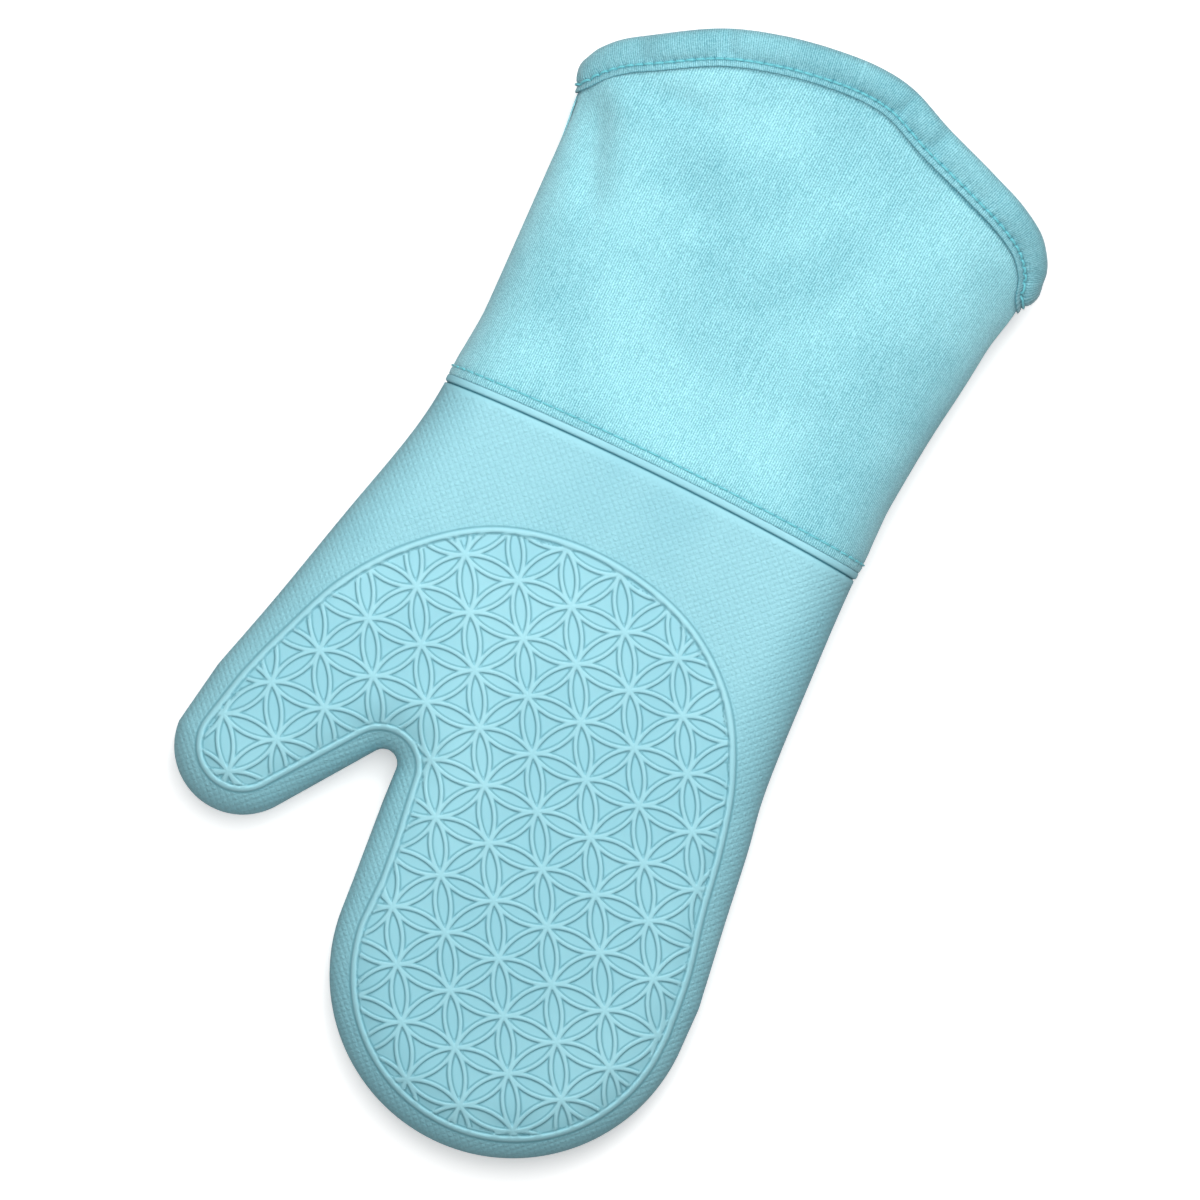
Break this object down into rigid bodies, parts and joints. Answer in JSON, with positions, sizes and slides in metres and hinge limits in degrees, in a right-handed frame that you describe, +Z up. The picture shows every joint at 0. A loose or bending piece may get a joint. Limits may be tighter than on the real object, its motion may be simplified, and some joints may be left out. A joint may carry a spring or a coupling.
{
  "type": "oven mitt",
  "caption": "Long oven mitt: moulded silicone glove with thumb and petal grip relief, canvas cuff sewn to its rim, taped mouth, wadded cotton lining.",
  "frame": {"origin": "centre of the lying mitt's box, on the surface that its back rests on", "axes": "+Z up out of the palm, +Y along the mitt from fingertips to cuff mouth, thumb on the -X side"},
  "size_m": [0.1906, 0.3699, 0.0438],
  "materials": {
    "silicone": "matt moulded silicone with a raised petal lattice and a fine diamond emboss",
    "canvas": "ribbed cotton canvas",
    "tape": "folded canvas binding tape, ribs across its width",
    "thread": "twisted sewing thread, lockstitch",
    "wadding": "needled cotton wadding",
    "lining": "plain cotton, quilted in diamonds"
  },
  "bodies": {
    "root": {"silicone_glove": "silicone", "cuff_palm_panel": "canvas", "cuff_back_panel": "canvas", "cuff_seam_thread": "thread", "mouth_binding": "tape", "binding_thread": "thread", "wadding_palm_panel": "wadding", "wadding_back_panel": "wadding", "lining_palm_panel": "lining", "lining_back_panel": "lining"}
  },
  "joints": []
}
